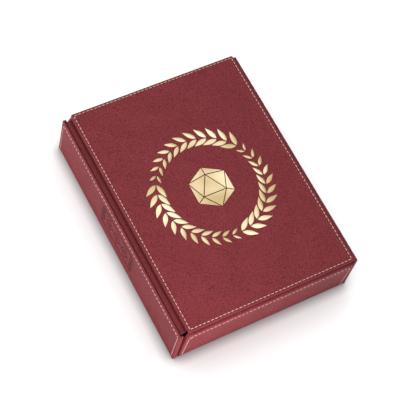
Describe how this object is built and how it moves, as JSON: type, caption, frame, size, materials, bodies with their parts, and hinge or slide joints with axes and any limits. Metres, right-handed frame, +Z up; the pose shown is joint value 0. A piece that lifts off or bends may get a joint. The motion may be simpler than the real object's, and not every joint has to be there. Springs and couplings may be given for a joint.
{
  "type": "folding dice tray",
  "caption": "Book-shaped folding dice tray: stitched leather panels round a velvet-lined floor, walls that fold out flat, and a hinged cover with a foil die in a leaf wreath.",
  "frame": {"origin": "centre of the base's underside, which rests on the table", "axes": "+Z up, +Y along the spine towards the back wall, +X from the spine towards the fore-edge wall"},
  "size_m": [0.187, 0.2422, 0.0558],
  "materials": {
    "burgundy_leather": "satin",
    "strip_leather": "matte",
    "grey_board": "matte",
    "black_velvet": "matte",
    "cream_thread": "matte",
    "gold_foil": "satin",
    "nickel_magnet": "polished"
  },
  "bodies": {
    "base": {"base_skin": "burgundy_leather", "base_board": "grey_board", "base_lining": "black_velvet", "spine_fold": "burgundy_leather", "front_fold": "burgundy_leather", "back_fold": "burgundy_leather", "fore_edge_fold": "burgundy_leather"},
    "spine_wall": {"spine_skin": "burgundy_leather", "spine_board": "grey_board", "spine_lining": "black_velvet", "spine_stitching": "cream_thread", "spine_magnets": "nickel_magnet", "spine_crease": "strip_leather"},
    "front_wall": {"front_skin": "burgundy_leather", "front_board": "grey_board", "front_lining": "black_velvet", "front_stitching": "cream_thread", "front_magnets": "nickel_magnet"},
    "back_wall": {"back_skin": "burgundy_leather", "back_board": "grey_board", "back_lining": "black_velvet", "back_stitching": "cream_thread", "back_magnets": "nickel_magnet"},
    "fore_edge_wall": {"fore_edge_skin": "burgundy_leather", "fore_edge_board": "grey_board", "fore_edge_lining": "black_velvet", "fore_edge_stitching": "cream_thread", "fore_edge_magnets": "nickel_magnet"},
    "hinge_strip": {"hinge_strip": "strip_leather"},
    "cover": {"cover_skin": "burgundy_leather", "cover_board": "grey_board", "cover_lining": "black_velvet", "cover_stitching": "cream_thread", "cover_magnets": "nickel_magnet", "cover_crease": "strip_leather", "cover_tongue": "strip_leather", "foil_die": "gold_foil", "foil_wreath": "gold_foil"}
  },
  "joints": [
    {"name": "spine_wall_hinge", "type": "hinge", "parent": "base", "child": "spine_wall", "pos_m": [-0.09279, 0, 0.00071], "axis": [0, 1, 0], "range_deg": [-90, 0], "deforming": ["spine_fold"]},
    {"name": "front_wall_hinge", "type": "hinge", "parent": "base", "child": "front_wall", "pos_m": [0, -0.11929, 0.00071], "axis": [-1, 0, 0], "range_deg": [-87.5, 2.5], "deforming": ["front_fold"]},
    {"name": "back_wall_hinge", "type": "hinge", "parent": "base", "child": "back_wall", "pos_m": [0, 0.11929, 0.00071], "axis": [1, 0, 0], "range_deg": [-90, 0], "deforming": ["back_fold"]},
    {"name": "fore_edge_wall_hinge", "type": "hinge", "parent": "base", "child": "fore_edge_wall", "pos_m": [0.09279, 0, 0.00071], "axis": [0, -1, 0], "range_deg": [-90, 0], "deforming": ["fore_edge_fold"]},
    {"name": "lid_strip_hinge", "type": "hinge", "parent": "spine_wall", "child": "hinge_strip", "pos_m": [-0.09195, 0, 0.0512], "axis": [0, -1, 0], "range_deg": [0, 98.5], "deforming": ["spine_crease"]},
    {"name": "lid_cover_hinge", "type": "hinge", "parent": "hinge_strip", "child": "cover", "pos_m": [-0.0859, 0, 0.0518], "axis": [0, -1, 0], "range_deg": [0, 98.5], "deforming": ["cover_crease"]}
  ],
  "couplings": [
    {"joint": "lid_cover_hinge", "follows": "lid_strip_hinge", "ratio": 1}
  ]
}
